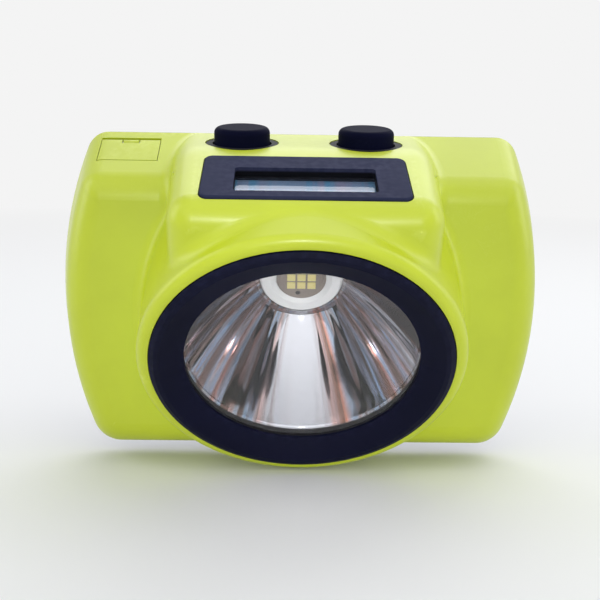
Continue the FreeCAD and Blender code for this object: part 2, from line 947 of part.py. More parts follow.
def display_ribbon():
    """Flat flex from the back of the display down to the main board."""
    start = window.point(0, module_half_depth, module_top() - module_thickness / 2)
    bend = window.point(0, module_half_depth + ribbon_bend, module_top() - module_thickness / 2)
    foot, toe = [buttons.point(0, y, -board_drop) for y in ribbon_foot_y]
    path = [(point.y, point.z) for point in (start, bend, foot, toe)]
    lifted = [(y + ribbon_lean, z + ribbon_thickness) for y, z in path]
    return side_prism(path + lifted[::-1], ribbon_width / 2)


def button(x):
    """Cap, retaining flange under the shell and the stem that meets the switch."""
    low = -wall - running
    cap = cylinder(button_radius, low - overlap, button_proud, x)
    top = [edge for edge in cap.Edges if abs(edge.CenterOfMass.z - button_proud) < near]
    cap = cap.makeFillet(button_round, top)
    flange = cylinder(button_flange_radius, low - button_flange, low, x)
    stem = cylinder(stem_radius, plunger_top(), low - overlap, x)
    return buttons.place(cap.fuse([flange, stem]))


def plunger_top():
    return -board_drop + switch_height + plunger_rise


def button_collars():
    inner = button_radius + running
    collars = [buttons.place(ring(collar_radius, inner, -collar_depth, -collar_set_back, x))
               for x in (-button_x, button_x)]
    return Part.makeCompound(collars)


def tact_switch(x):
    half = switch_size / 2
    body = slab(half, -half, half, -board_drop, -board_drop + switch_height, x)
    bore = cylinder(plunger_radius + pin_fit, switch_floor, 0, x)
    return buttons.place(body.cut(bore))


def switch_plunger(x):
    top = plunger_top()
    return buttons.place(cylinder(plunger_radius, top - plunger_length, top, x))


def main_board():
    body = slab(board_half_width, board_front, board_back, -board_drop - board_thickness, -board_drop)
    holes = []
    for x in (-board_post_x, board_post_x):
        for y in board_posts_y:
            holes.append(cylinder(m2_shank + fit, -board_drop - board_hole_past, -board_drop + past, x, y))
    return buttons.place(body.cut(holes))


def main_board_screws():
    screws = []
    under = -board_drop - board_thickness
    for x in (-board_post_x, board_post_x):
        for y in board_posts_y:
            shank = cylinder(m2_shank - thread_gap, under, -board_drop + board_screw_length, x, y)
            screws.append(buttons.place(shank.fuse(cylinder(m2_head, under - m2_head_height, under, x, y))))
    return Part.makeCompound(screws)


def cell_centre(side):
    return side * (cell_inner_x + cell_width / 2)


def battery_cells():
    cells = []
    for side in (-1, 1):
        x = cell_centre(side)
        body = slab(cell_width / 2, cell_back_y - cell_thickness, cell_back_y,
                    cell_bottom_z, cell_top_z, x)
        upright = [edge for edge in body.Edges if is_parallel(edge, Vector(0, 0, 1))]
        cells.append(body.makeFillet(cell_round, upright))
    return Part.makeCompound(cells)


def battery_pads():
    middle = cell_bottom_z + cell_height / 2 + pad_rise
    pads = [slab(pad_half_width, cell_back_y, pan_inner_y, middle - pad_half_height,
                 middle + pad_half_height, cell_centre(side)) for side in (-1, 1)]
    return Part.makeCompound(pads)


def battery_guard_board():
    """The small protection board on top of the right-hand cell."""
    low = cell_top_z
    middle = cell_back_y - cell_thickness / 2
    return slab(guard_length / 2, middle - guard_width / 2, middle + guard_width / 2,
                low, low + guard_thickness, cell_centre(1))


def wire(points):
    """A thin round lead through the given points."""
    pieces = []
    for start, end in zip(points, points[1:]):
        along = end - start
        pieces.append(Part.makeCylinder(wire_radius, along.Length, start, along))
    pieces += [Part.makeSphere(wire_radius, point) for point in points[1:-1]]
    return pieces[0].fuse(pieces[1:]).removeSplitter()


def board_pad(x, y):
    """A soldering place under the main board, and a point just below it."""
    under = -board_drop - board_thickness
    return [buttons.point(x, y, under - board_pad_gap), buttons.point(x, y, under)]


def led_leads():
    leads = []
    height = led_board_front + wire_radius
    for x in (-led_lead_x, led_lead_x):
        start = beam.point(x, reflector_neck + reflector_wall + led_lead_start, height)
        turn = beam.point(x, led_board_radius + led_lead_turn, height)
        leads.append(wire([start, turn] + board_pad(x, led_pad_y)))
    return Part.makeCompound(leads)


def battery_leads():
    leads = []
    front = cell_back_y - cell_thickness / 2 - cell_lead_front
    for side in (-1, 1):
        rise = guard_thickness if side > 0 else 0
        x = side * (cell_inner_x + cell_lead_inset)
        start = Vector(x, front, cell_top_z + rise)
        lift = Vector(x, front, cell_top_z + rise + cell_lead_lift)
        leads.append(wire([start, lift] + board_pad(side * (board_half_width - lead_inset), 0)))
    return Part.makeCompound(leads)


def charge_leads():
    leads = []
    height = -flap_thickness - flap_gap - port_floor - charge_board_length + charge_lead_rise
    pad_inset, pad_y = charge_pad
    for step in (-charge_lead_half_gap, charge_lead_half_gap):
        x = port_x + charge_lead_shift + step
        start = port.point(x, charge_board_y, height)
        turn = port.point(x, charge_board_y - charge_lead_turn, height)
        pad = board_pad(-board_half_width + pad_inset + step, pad_y)
        leads.append(wire([start, turn] + pad))
    return Part.makeCompound(leads)


def charge_socket():
    top = -flap_thickness - flap_gap - plug_height - running
    low = top - socket_length
    outside = rounded_slab(socket_half_width, socket_half_depth, low, top, socket_corner, port_x, socket_y)
    hollow = rounded_slab(socket_half_width - socket_wall, socket_half_depth - socket_wall,
                          low + socket_floor, top + past, socket_inner_corner, port_x, socket_y)
    tongue = slab(socket_half_width - socket_tongue_inset, socket_y - socket_tongue / 2,
                  socket_y + socket_tongue / 2, low + socket_floor / 2, top - socket_tongue_back, port_x)
    return port.place(outside.cut(hollow).fuse(tongue))


def charge_board():
    top = -flap_thickness - flap_gap - port_floor
    back = charge_board_y + charge_board_thickness
    return port.place(slab(socket_half_width - charge_board_inset, charge_board_y, back,
                           top - charge_board_length, top, port_x))


def port_cover():
    """Flap over the charging socket, with two knuckles on a thin pin at its back edge."""
    half = flap_thickness / 2
    plate = slab(flap_half_width, -flap_front, hinge_back, -flap_thickness, 0, port_x)
    knuckle = hinge_pin(half, -flap_half_width, flap_half_width)
    plug = slab(plug_half_width, socket_y - plug_half_depth, socket_y + plug_half_depth,
                -flap_thickness - plug_height, -flap_thickness, port_x)
    notch = slab(ear_half_width + flap_gap, hinge_back - half - flap_gap, hinge_back + past,
                 -flap_thickness - past, past, port_x)
    hole = hinge_pin(hinge_pin_radius + pin_fit, -pin_reach - pin_end_gap, flap_half_width + past)
    return port.place(plate.fuse([knuckle, plug]).cut([notch, hole])).common(rounded_wing())


def port_cover_pin():
    return port.place(hinge_pin(hinge_pin_radius - pin_press, -pin_reach, pin_reach))


def helmet_clip():
    """One bent steel strip: a plate on the cover, a half turn and the tongue."""
    inner = clip_gap / 2
    outer = inner + clip_metal
    middle = plate_back_y + inner
    half = clip_width / 2
    plate = slab(half, pad_y, plate_back_y, plate_bottom_z, clip_top_z)
    tongue = slab(half, tongue_front_y, tongue_back_y, tongue_bottom_z, clip_top_z)
    corners = [edge for edge in tongue.Edges if is_parallel(edge, Vector(0, 1, 0))
               and edge.CenterOfMass.z < 0]
    tongue = tongue.makeFillet(tongue_corner, corners)
    start = Vector(-half, middle, clip_top_z)
    bend = Part.makeCylinder(outer, clip_width, start, Vector(1, 0, 0))
    bend = bend.cut(Part.makeCylinder(inner, clip_width, start, Vector(1, 0, 0)))
    bend = bend.cut(slab(half + past, pad_y - past, tongue_back_y + past,
                         clip_top_z - outer - past, clip_top_z))
    body = plate.fuse([tongue, bend]).removeSplitter()
    body = body.cut(post_along_y(detent_radius, 0, detent_z, plate_back_y + past, tongue_back_y + past))
    holes = [post_along_y(m3_shank + fit, 0, z, pad_y - past, plate_back_y + past) for z in clip_screw_z]
    sinks = [countersink(z, m3_head + fit) for z in clip_screw_z]
    return body.cut(holes + sinks)


def countersink(z, radius):
    """Cone under a flat screw head, wide at the plate's outer face."""
    depth = clip_metal
    slim = radius - depth
    return Part.makeCone(slim, radius, depth, Vector(0, plate_back_y - depth, z), Vector(0, 1, 0))


def clip_screws():
    screws = []
    for z in clip_screw_z:
        front = clip_boss_front + clip_hole_floor + tip_room
        shank = post_along_y(m3_shank - thread_gap, 0, z, front, plate_back_y - shank_end_gap)
        head = countersink(z, m3_head)
        recess = post_along_y(m3_drive_radius, 0, z, plate_back_y - m3_drive_depth, plate_back_y + past)
        screws.append(shank.fuse(head).cut(recess))
    return Part.makeCompound(screws)


pieces = {
    "front_shell": front_shell,
    "rear_cover": rear_cover,
    "housing_seal": housing_seal,
    "cover_screws": cover_screws,
    "bezel_ring": bezel_ring,
    "lens": lens,
    "lens_gasket": lens_gasket,
    "reflector": reflector,
    "led_centring_ring": led_centring_ring,
    "main_led": main_led,
    "led_board": led_board,
    "led_board_screws": led_board_screws,
    "heat_sink": heat_sink,
    "thermal_pad": thermal_pad,
    "display_bezel": display_bezel,
    "display_window": display_window,
    "display_gasket": display_gasket,
    "display_module": display_module,
    "display_ribbon": display_ribbon,
    "button_collars": button_collars,
    "main_board": main_board,
    "main_board_screws": main_board_screws,
    "battery_cells": battery_cells,
    "battery_pads": battery_pads,
    "battery_guard_board": battery_guard_board,
    "led_leads": led_leads,
    "battery_leads": battery_leads,
    "charge_leads": charge_leads,
    "charge_socket": charge_socket,
    "charge_board": charge_board,
    "port_cover": port_cover,
    "port_cover_pin": port_cover_pin,
    "helmet_clip": helmet_clip,
    "clip_screws": clip_screws,
}


def write(name, shape):
    shape.translate(origin * -1)
    box = shape.BoundBox
    size = [round(value, 1) for value in (box.XLength, box.YLength, box.ZLength)]
    print(name, "solids", len(shape.Solids), "volume", round(shape.Volume), "size", size)
    if not shape.isValid():
        print("NOT VALID", name)
    shape.exportStep("parts/" + name + ".step")


def main():
    os.makedirs("parts", exist_ok=True)
    for name, make in pieces.items():
        write(name, make())
    for side, x in (("left", -button_x), ("right", button_x)):
        write(side + "_button", button(x))
        write(side + "_switch", tact_switch(x))
        write(side + "_switch_plunger", switch_plunger(x))
    axis = buttons.point(button_x, 0, 0) - origin
    hinge = port.point(port_x, hinge_back, -flap_thickness / 2) - origin
    print("button axis through", [round(value, 3) for value in axis], "slope", rear_slope)
    print("flap hinge through", [round(value, 3) for value in hinge])
    print("origin in the working frame", [round(value, 3) for value in origin])


main()
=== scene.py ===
# %% [markdown]
# # A miner's cap lamp
#
# The lamp hangs on the front of a helmet. Its yellow shell, grey rear cover, dark
# ring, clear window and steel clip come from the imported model, in metres, and they
# stay where they are. This lesson gives them their finishes, and it makes three parts
# again that look finer than the solids: the rippled mirror, the light source with its
# small dies, and the display's screen.

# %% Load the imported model
import math
import bpy
import bmesh
from mathutils import Matrix, Vector


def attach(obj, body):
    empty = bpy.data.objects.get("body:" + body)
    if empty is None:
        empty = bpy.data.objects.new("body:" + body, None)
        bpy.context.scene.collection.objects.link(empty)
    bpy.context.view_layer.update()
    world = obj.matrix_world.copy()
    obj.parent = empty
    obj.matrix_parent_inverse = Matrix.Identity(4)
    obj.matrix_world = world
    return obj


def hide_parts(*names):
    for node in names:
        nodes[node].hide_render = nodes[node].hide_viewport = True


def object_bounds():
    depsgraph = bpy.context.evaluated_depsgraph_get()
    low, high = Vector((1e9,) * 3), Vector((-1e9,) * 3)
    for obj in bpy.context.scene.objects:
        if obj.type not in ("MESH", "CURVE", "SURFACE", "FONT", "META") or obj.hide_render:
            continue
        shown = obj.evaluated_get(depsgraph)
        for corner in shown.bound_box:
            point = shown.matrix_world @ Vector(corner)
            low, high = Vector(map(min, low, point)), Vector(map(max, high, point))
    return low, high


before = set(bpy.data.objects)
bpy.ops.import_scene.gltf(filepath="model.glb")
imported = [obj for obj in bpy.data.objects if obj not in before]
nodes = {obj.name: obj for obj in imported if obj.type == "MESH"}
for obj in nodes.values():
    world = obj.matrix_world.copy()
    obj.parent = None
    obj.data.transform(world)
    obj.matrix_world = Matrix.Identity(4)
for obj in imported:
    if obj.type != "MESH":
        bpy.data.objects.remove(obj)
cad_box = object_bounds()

print("whole lamp, lowest and highest corner:", cad_box)

# %% [markdown]
# ## The camera
#
# The photograph was taken from close by, a little to the left and 11 degrees above
# the lamp, so near things look larger. A long lens would flatten that, so the camera
# stands where the real one stood, and only its field of view is narrower.

# %% Place the camera
MM = 0.001
azimuth, elevation, roll = math.radians(-1.086), math.radians(10.98), math.radians(0.902)
camera_place = Vector((-3.4, -187.0, 27.95)) * MM
back = Vector((math.sin(azimuth) * math.cos(elevation), -math.cos(azimuth) * math.cos(elevation),
               math.sin(elevation)))
side = Vector((0, 0, 1)).cross(back).normalized()
upright = back.cross(side)
right = side * math.cos(roll) + upright * math.sin(roll)
up = back.cross(right)

camera = bpy.data.objects.new("camera", bpy.data.cameras.new("camera"))
bpy.context.scene.collection.objects.link(camera)
turn = Matrix((right, up, back)).transposed()
camera.matrix_world = Matrix.Translation(camera_place) @ turn.to_4x4()
camera.data.sensor_width = 36
camera.data.lens = 56.5
camera.data.clip_start = 0.001
bpy.context.scene.camera = camera
print("camera stands at", camera_place, "and looks along", -back)

# %% [markdown]
# ## The stage
#
# A real product shot stands on a sweep of pale paper. Here the floor is one large
# sheet right under the lamp, and the world is pale where the camera, a gloss or the
# glass sees it. Its light on the object is weaker than that, so that soft lamps can
# give the shell its shape.

# %% A material and a few helpers for nodes
def new_material(name):
    """A node material with a Principled shader. Returns the tree, the shader and the material."""
    material = bpy.data.materials.new(name)
    material.use_nodes = True
    tree = material.node_tree
    return tree, tree.nodes["Principled BSDF"], material


def srgb(red, green, blue):
    """A colour as a screen shows it, 0 to 255, in Blender's linear numbers."""
    def linear(value):
        value /= 255
        return value / 12.92 if value <= 0.04045 else ((value + 0.055) / 1.055) ** 2.4
    return (linear(red), linear(green), linear(blue), 1)


def add(tree, kind, **values):
    """Add a node; names that are sockets are set or linked, the others are properties."""
    node = tree.nodes.new(kind)
    later = {}
    for name, value in values.items():
        if hasattr(node, name):
            setattr(node, name, value)
        else:
            later[name.replace("_", " ")] = value
    for name, value in later.items():
        if isinstance(value, bpy.types.NodeSocket):
            tree.links.new(value, node.inputs[name])
        else:
            node.inputs[name].default_value = value
    return node


def math_node(tree, operation, first, second):
    """One arithmetic step between two numbers or sockets."""
    node = tree.nodes.new("ShaderNodeMath")
    node.operation = operation
    for socket, value in zip(node.inputs, (first, second)):
        if isinstance(value, bpy.types.NodeSocket):
            tree.links.new(value, socket)
        else:
            socket.default_value = value
    return node.outputs[0]


def mix_colour(tree, share, first, second):
    """Mix two colours by a share."""
    node = tree.nodes.new("ShaderNodeMix")
    node.data_type = "RGBA"
    for socket, value in ((node.inputs[0], share), (node.inputs[6], first), (node.inputs[7], second)):
        if isinstance(value, bpy.types.NodeSocket):
            tree.links.new(value, socket)
        else:
            socket.default_value = value
    return node.outputs[2]


def spread(tree, value, low, high, to_low, to_high):
    """Move a value from one range to another, held at the ends."""
    node = tree.nodes.new("ShaderNodeMapRange")
    node.clamp = True
    tree.links.new(value, node.inputs[0])
    for index, number in enumerate((low, high, to_low, to_high), 1):
        node.inputs[index].default_value = number
    return node.outputs[0]


print("helpers ready")

# %% Floor and world
def plain_sheet(name, corners, colour):
    mesh = bpy.data.meshes.new(name)
    mesh.from_pydata(corners, [], [(0, 1, 2, 3)])
    sheet = bpy.data.objects.new(name, mesh)
    bpy.context.scene.collection.objects.link(sheet)
    tree, shader, material = new_material(name)
    shader.inputs["Base Color"].default_value = colour
    shader.inputs["Roughness"].default_value = 0.9
    shader.inputs["Specular IOR Level"].default_value = 0.1
    place = tree.nodes.new("ShaderNodeTexCoord").outputs["Object"]
    far = add(tree, "ShaderNodeVectorMath", operation="LENGTH")
    tree.links.new(place, far.inputs[0])
    far = spread(tree, far.outputs["Value"], 0.16, 0.5, 0.0, 1.0)
    sight = tree.nodes.new("ShaderNodeLightPath")
    seen = math_node(tree, "MAXIMUM", sight.outputs["Is Camera Ray"], sight.outputs["Is Glossy Ray"])
    paper = add(tree, "ShaderNodeEmission", Color=srgb(244, 244, 244), Strength=1.0)
    pick = tree.nodes.new("ShaderNodeMixShader")
    tree.links.new(math_node(tree, "MULTIPLY", seen, far), pick.inputs[0])
    tree.links.new(shader.outputs[0], pick.inputs[1])
    tree.links.new(paper.outputs[0], pick.inputs[2])
    tree.links.new(pick.outputs[0], tree.nodes["Material Output"].inputs["Surface"])
    mesh.materials.append(material)


floor_z = cad_box[0][2] - 0.0004
reach = 3.0
plain_sheet("floor", [(-reach, -reach, floor_z), (reach, -reach, floor_z),
                      (reach, reach, floor_z), (-reach, reach, floor_z)], srgb(238, 238, 238))

world = bpy.data.worlds.new("studio")
bpy.context.scene.world = world
world.use_nodes = True
sky = world.node_tree
sky.nodes.clear()
path = sky.nodes.new("ShaderNodeLightPath")
seen = math_node(sky, "MAXIMUM", path.outputs["Is Camera Ray"], path.outputs["Is Glossy Ray"])
seen = math_node(sky, "MAXIMUM", seen, path.outputs["Is Transmission Ray"])
room = add(sky, "ShaderNodeBackground", Color=srgb(236, 240, 246), Strength=0.4)
paper = add(sky, "ShaderNodeBackground", Color=srgb(244, 244, 244), Strength=1.0)
choose = sky.nodes.new("ShaderNodeMixShader")
sky.links.new(seen, choose.inputs[0])
sky.links.new(room.outputs[0], choose.inputs[1])
sky.links.new(paper.outputs[0], choose.inputs[2])
output = sky.nodes.new("ShaderNodeOutputWorld")
sky.links.new(choose.outputs[0], output.inputs[0])
bpy.context.scene.view_settings.view_transform = "Standard"
print("floor height:", floor_z)

# %% [markdown]
# ## Light
#
# The photograph shows broad lights overhead and behind, which make the top faces
# pale with their gloss, and two at the sides, which draw light lines down the ends
# of the wings. The broad lamp high in front is what the mirror's floor reflects as
# one bright bell. None of them reaches the white ring deep in the mirror, because
# the barrel shades it, so a narrow spot lamp shines into the mirror from low in front.

# %% Soft lamps
def soft_lamp(name, place, target, width, height, power):
    data = bpy.data.lights.new(name, "AREA")
    data.shape = "ELLIPSE"
    data.size, data.size_y = width, height
    data.energy = power
    lamp = bpy.data.objects.new(name, data)
    bpy.context.scene.collection.objects.link(lamp)
    lamp.location = place
    lamp.rotation_euler = (Vector(target) - Vector(place)).to_track_quat("-Z", "Y").to_euler()
    return lamp


middle = (0, -0.03, 0)
soft_lamp("light_above", (0, -0.44, 0.36), middle, 1.2, 0.84, 1.65)
soft_lamp("light_overhead", (0.1, 0.06, 0.6), middle, 0.9, 0.5, 1.0)
soft_lamp("light_behind", (0.1, 0.4, 0.4), middle, 0.9, 0.36, 1.35)
soft_lamp("light_left", (-0.5, -0.05, 0.18), middle, 0.26, 0.6, 0.75)
soft_lamp("light_right", (0.5, -0.05, 0.18), middle, 0.26, 0.6, 0.75)
spot_place, spot_target = Vector((0.0, -0.6, 0.06)), Vector((0, -0.03, -0.01))
beam_light = bpy.data.lights.new("light_into_mirror", "SPOT")
beam_light.energy, beam_light.shadow_soft_size = 5.0, 0.02
beam_light.spot_size, beam_light.spot_blend = math.radians(10), 0.8
spot = bpy.data.objects.new("light_into_mirror", beam_light)
bpy.context.scene.collection.objects.link(spot)
spot.location = spot_place
spot.rotation_euler = (spot_target - spot_place).to_track_quat("-Z", "Y").to_euler()
print("lamps placed")

# %% [markdown]
# ## Finishes that several materials share
#
# Moulded plastic is never perfectly even: the mould leaves a fine grain, and handling
# leaves faint marks that only show in the gloss. Both are the same on the shell, the
# cover, the ring and the buttons, only stronger or weaker. So each is a node group
# with named inputs, built once.

# %% Start a node group
def new_group(name, inputs, outputs):
    """A shader node group. inputs holds name, type and value; outputs name and type."""
    group = bpy.data.node_groups.new(name, "ShaderNodeTree")
    for title, kind, value in inputs:
        socket = group.interface.new_socket(name=title, in_out="INPUT", socket_type=kind)
        socket.default_value = value
    for title, kind in outputs:
        group.interface.new_socket(name=title, in_out="OUTPUT", socket_type=kind)
    enter = group.nodes.new("NodeGroupInput")
    leave = group.nodes.new("NodeGroupOutput")
    return group, enter.outputs, leave.inputs


def use_group(tree, group, **values):
    """Place a group in a material and set its inputs."""
    node = tree.nodes.new("ShaderNodeGroup")
    node.node_tree = group
    for name, value in values.items():
        socket = node.inputs[name.replace("_", " ")]
        if isinstance(value, bpy.types.NodeSocket):
            tree.links.new(value, socket)
        else:
            socket.default_value = value
    return node.outputs


NUMBER = "NodeSocketFloat"
print("group helpers ready")

# %% Grain of moulded plastic
moulded, given, out = new_group(
    "moulded_grain",
    [("Grain Size", NUMBER, 9000.0), ("Roughness", NUMBER, 0.4), ("Unevenness", NUMBER, 0.06)],
    [("Height", NUMBER), ("Roughness", NUMBER), ("Cloud", NUMBER)])
place = moulded.nodes.new("ShaderNodeTexCoord").outputs["Object"]
fine = add(moulded, "ShaderNodeTexNoise", Vector=place, Scale=given["Grain Size"], Detail=3.0, Roughness=0.6)
broad = add(moulded, "ShaderNodeTexNoise", Vector=place, Scale=60.0, Detail=4.0, Roughness=0.55)
moulded.links.new(fine.outputs[0], out["Height"])
moulded.links.new(broad.outputs[0], out["Cloud"])
offset = math_node(moulded, "SUBTRACT", broad.outputs[0], 0.5)
offset = math_node(moulded, "MULTIPLY", offset, given["Unevenness"])
moulded.links.new(math_node(moulded, "ADD", offset, given["Roughness"]), out["Roughness"])
print("group:", moulded.name)

# %% Marks from handling
marks, given, out = new_group(
    "handling_marks",
    [("Size", NUMBER, 1.0), ("Amount", NUMBER, 0.4)],
    [("Mask", NUMBER)])
place = marks.nodes.new("ShaderNodeTexCoord").outputs["Object"]
fineness = math_node(marks, "MULTIPLY", given["Size"], 160.0)
bent = add(marks, "ShaderNodeTexNoise", Vector=place, Scale=fineness, Detail=5.0, Roughness=0.6, Distortion=1.6)
line = math_node(marks, "SUBTRACT", bent.outputs[0], 0.5)
line = math_node(marks, "ABSOLUTE", line, 0.0)
line = spread(marks, line, 0.0, 0.012, 1.0, 0.0)
patch = add(marks, "ShaderNodeTexNoise", Vector=place, Scale=45.0, Detail=2.0)
patch = spread(marks, patch.outputs[0], 0.52, 0.72, 0.0, 1.0)
marks.links.new(math_node(marks, "MULTIPLY", math_node(marks, "MULTIPLY", line, patch), given["Amount"]),
                out["Mask"])
print("group:", marks.name)

# %% Lines of brushed metal
brushed, given, out = new_group(
    "brushed_lines",
    [("Across", NUMBER, 6000.0), ("Along", NUMBER, 60.0), ("Roughness", NUMBER, 0.3)],
    [("Height", NUMBER), ("Roughness", NUMBER)])
place = brushed.nodes.new("ShaderNodeTexCoord").outputs["Object"]
stretch = brushed.nodes.new("ShaderNodeCombineXYZ")
for axis, name in ((0, "Across"), (1, "Across"), (2, "Along")):
    brushed.links.new(given[name], stretch.inputs[axis])
scaled = brushed.nodes.new("ShaderNodeVectorMath")
scaled.operation = "MULTIPLY"
brushed.links.new(place, scaled.inputs[0])
brushed.links.new(stretch.outputs[0], scaled.inputs[1])
lines = add(brushed, "ShaderNodeTexNoise", Vector=scaled.outputs[0], Scale=1.0, Detail=3.0, Roughness=0.7)
brushed.links.new(lines.outputs[0], out["Height"])
shift = math_node(brushed, "MULTIPLY", math_node(brushed, "SUBTRACT", lines.outputs[0], 0.5), 0.25)
brushed.links.new(math_node(brushed, "ADD", shift, given["Roughness"]), out["Roughness"])
print("group:", brushed.name)

# %% Worn edges
worn, given, out = new_group(
    "worn_edges",
    [("Amount", NUMBER, 0.5)],
    [("Mask", NUMBER)])
sharp = worn.nodes.new("ShaderNodeNewGeometry").outputs["Pointiness"]
edge = spread(worn, sharp, 0.52, 0.62, 0.0, 1.0)
place = worn.nodes.new("ShaderNodeTexCoord").outputs["Object"]
rough = add(worn, "ShaderNodeTexNoise", Vector=place, Scale=900.0, Detail=4.0)
rough = spread(worn, rough.outputs[0], 0.4, 0.65, 0.0, 1.0)
rubbed = math_node(worn, "MULTIPLY", edge, rough)
worn.links.new(math_node(worn, "MULTIPLY", rubbed, given["Amount"]), out["Mask"])
print("group:", worn.name)

# %% [markdown]
# ## The plastics
#
# The shell is one bright yellow-green plastic with a fine satin grain. Its colour is
# a little cloudy, because the pigment never mixes perfectly, and its edges are paler
# where they rub. The same recipe, with other numbers, makes the grey rear cover, the
# blue-black ring and the rubber buttons.

# %% A recipe for moulded plastic
def bump(tree, shader, height, distance, strength=1.0):
    node = add(tree, "ShaderNodeBump", Height=height, Distance=distance, Strength=strength)
    tree.links.new(node.outputs[0], shader.inputs["Normal"])


def moulded_plastic(name, colour, deeper, paler, roughness, grain=9000.0, depth=0.000004,
                    unevenness=0.06, wear=0.3, marked=0.3, coat=0.0, shine=0.5):
    """Plastic or rubber out of a mould: cloudy colour, fine grain, rubbed edges, faint marks."""
    tree, shader, material = new_material(name)
    mould = use_group(tree, moulded, Grain_Size=grain, Roughness=roughness, Unevenness=unevenness)
    cloud = spread(tree, mould["Cloud"], 0.35, 0.65, 0.0, 1.0)
    body = mix_colour(tree, cloud, colour, deeper)
    rubbed = use_group(tree, worn, Amount=wear)["Mask"]
    scratched = use_group(tree, marks, Size=1.0, Amount=marked)["Mask"]
    body = mix_colour(tree, rubbed, body, paler)
    tree.links.new(mix_colour(tree, math_node(tree, "MULTIPLY", scratched, 0.35), body, paler),
                   shader.inputs["Base Color"])
    rough = math_node(tree, "ADD", mould["Roughness"], math_node(tree, "MULTIPLY", scratched, 0.15))
    tree.links.new(rough, shader.inputs["Roughness"])
    bump(tree, shader, mould["Height"], depth)
    shader.inputs["Coat Weight"].default_value = coat
    shader.inputs["Coat Roughness"].default_value = 0.25
    shader.inputs["Specular IOR Level"].default_value = shine
    return material


shell_plastic = moulded_plastic("shell_plastic", srgb(186, 200, 30), srgb(179, 192, 26), srgb(224, 233, 124),
                                roughness=0.4, wear=0.25, marked=0.25, coat=0.3)
cover_plastic = moulded_plastic("cover_plastic", srgb(112, 116, 138), srgb(105, 109, 130),
                                srgb(150, 153, 170), roughness=0.45)
ring_plastic = moulded_plastic("ring_plastic", srgb(11, 13, 36), srgb(8, 10, 30), srgb(48, 52, 84),
                               roughness=0.5, wear=0.2, shine=0.09)
frame_plastic = moulded_plastic("frame_plastic", srgb(42, 46, 70), srgb(37, 41, 64), srgb(80, 82, 106),
                                roughness=0.65, shine=0.06)
button_rubber = moulded_plastic("button_rubber", srgb(12, 14, 36), srgb(9, 11, 30), srgb(40, 44, 70),
                                roughness=0.55, depth=0.000008, shine=0.015)
collar_rubber = moulded_plastic("collar_rubber", srgb(15, 17, 26), srgb(12, 14, 21), srgb(40, 44, 52),
                                roughness=0.65, shine=0.2)
seal_rubber = moulded_plastic("seal_rubber", srgb(28, 28, 30), srgb(22, 22, 24), srgb(60, 60, 62),
                              roughness=0.7)
foam = moulded_plastic("foam", srgb(52, 52, 55), srgb(40, 40, 43), srgb(80, 80, 84), roughness=0.95,
                       grain=3000.0, depth=0.0001)
pad_silicone = moulded_plastic("pad_silicone", srgb(140, 168, 198), srgb(130, 158, 190), srgb(190, 205, 220),
                               roughness=0.7, depth=0.00001)
white_plastic = moulded_plastic("white_plastic", srgb(236, 236, 232), srgb(228, 228, 224),
                                srgb(248, 248, 246), roughness=0.35, wear=0.1, marked=0.1)
switch_plastic = moulded_plastic("switch_plastic", srgb(32, 32, 34), srgb(26, 26, 28), srgb(70, 70, 72),
                                 roughness=0.5)
plunger_plastic = moulded_plastic("plunger_plastic", srgb(205, 204, 198), srgb(196, 195, 188),
                                  srgb(230, 230, 226), roughness=0.4)
wire_sleeve = moulded_plastic("wire_sleeve", srgb(178, 34, 30), srgb(160, 28, 25), srgb(205, 90, 84),
                              roughness=0.4)
flex_film = moulded_plastic("flex_film", srgb(160, 96, 34), srgb(142, 82, 26), srgb(196, 140, 80),
                            roughness=0.35, depth=0.000002, coat=0.3)
print("plastics made")

# %% [markdown]
# ## The metals
#
# The clip and the screws are stainless steel, brushed along the clip. The heat sink
# is milled aluminium, and the light source sits on a coated aluminium board. The
# cells are wrapped in foil, which is dented rather than brushed.

# %% Recipes for metal
def brushed_metal(name, colour, roughness, across=6000.0, along=60.0, depth=0.000002):
    tree, shader, material = new_material(name)
    line = use_group(tree, brushed, Across=across, Along=along, Roughness=roughness)
    stain = use_group(tree, moulded, Grain_Size=2500.0, Roughness=0.5, Unevenness=0.1)["Cloud"]
    dull = tuple(part * 0.8 for part in colour[:3]) + (1,)
    tree.links.new(mix_colour(tree, spread(tree, stain, 0.4, 0.7, 0.0, 0.6), colour, dull),
                   shader.inputs["Base Color"])
    shader.inputs["Metallic"].default_value = 1.0
    tree.links.new(line["Roughness"], shader.inputs["Roughness"])
    bump(tree, shader, line["Height"], depth)
    return material


clip_steel = brushed_metal("clip_steel", srgb(205, 206, 210), 0.28)
screw_steel = brushed_metal("screw_steel", srgb(198, 198, 202), 0.3, across=1500.0, along=1500.0)
socket_steel = brushed_metal("socket_steel", srgb(214, 214, 216), 0.25, across=2500.0, along=2500.0)
sink_metal = brushed_metal("sink_metal", srgb(206, 208, 212), 0.38, across=400.0, along=4000.0)
cell_foil = brushed_metal("cell_foil", srgb(200, 203, 208), 0.3, across=260.0, along=260.0, depth=0.0002)
print("metals made")

# %% [markdown]
# ## The circuit boards
#
# A board is green lacquer over copper tracks. The tracks run in straight lines and
# show as a slightly lighter, raised pattern. Bricks of different length make such a
# pattern without drawing any real circuit.

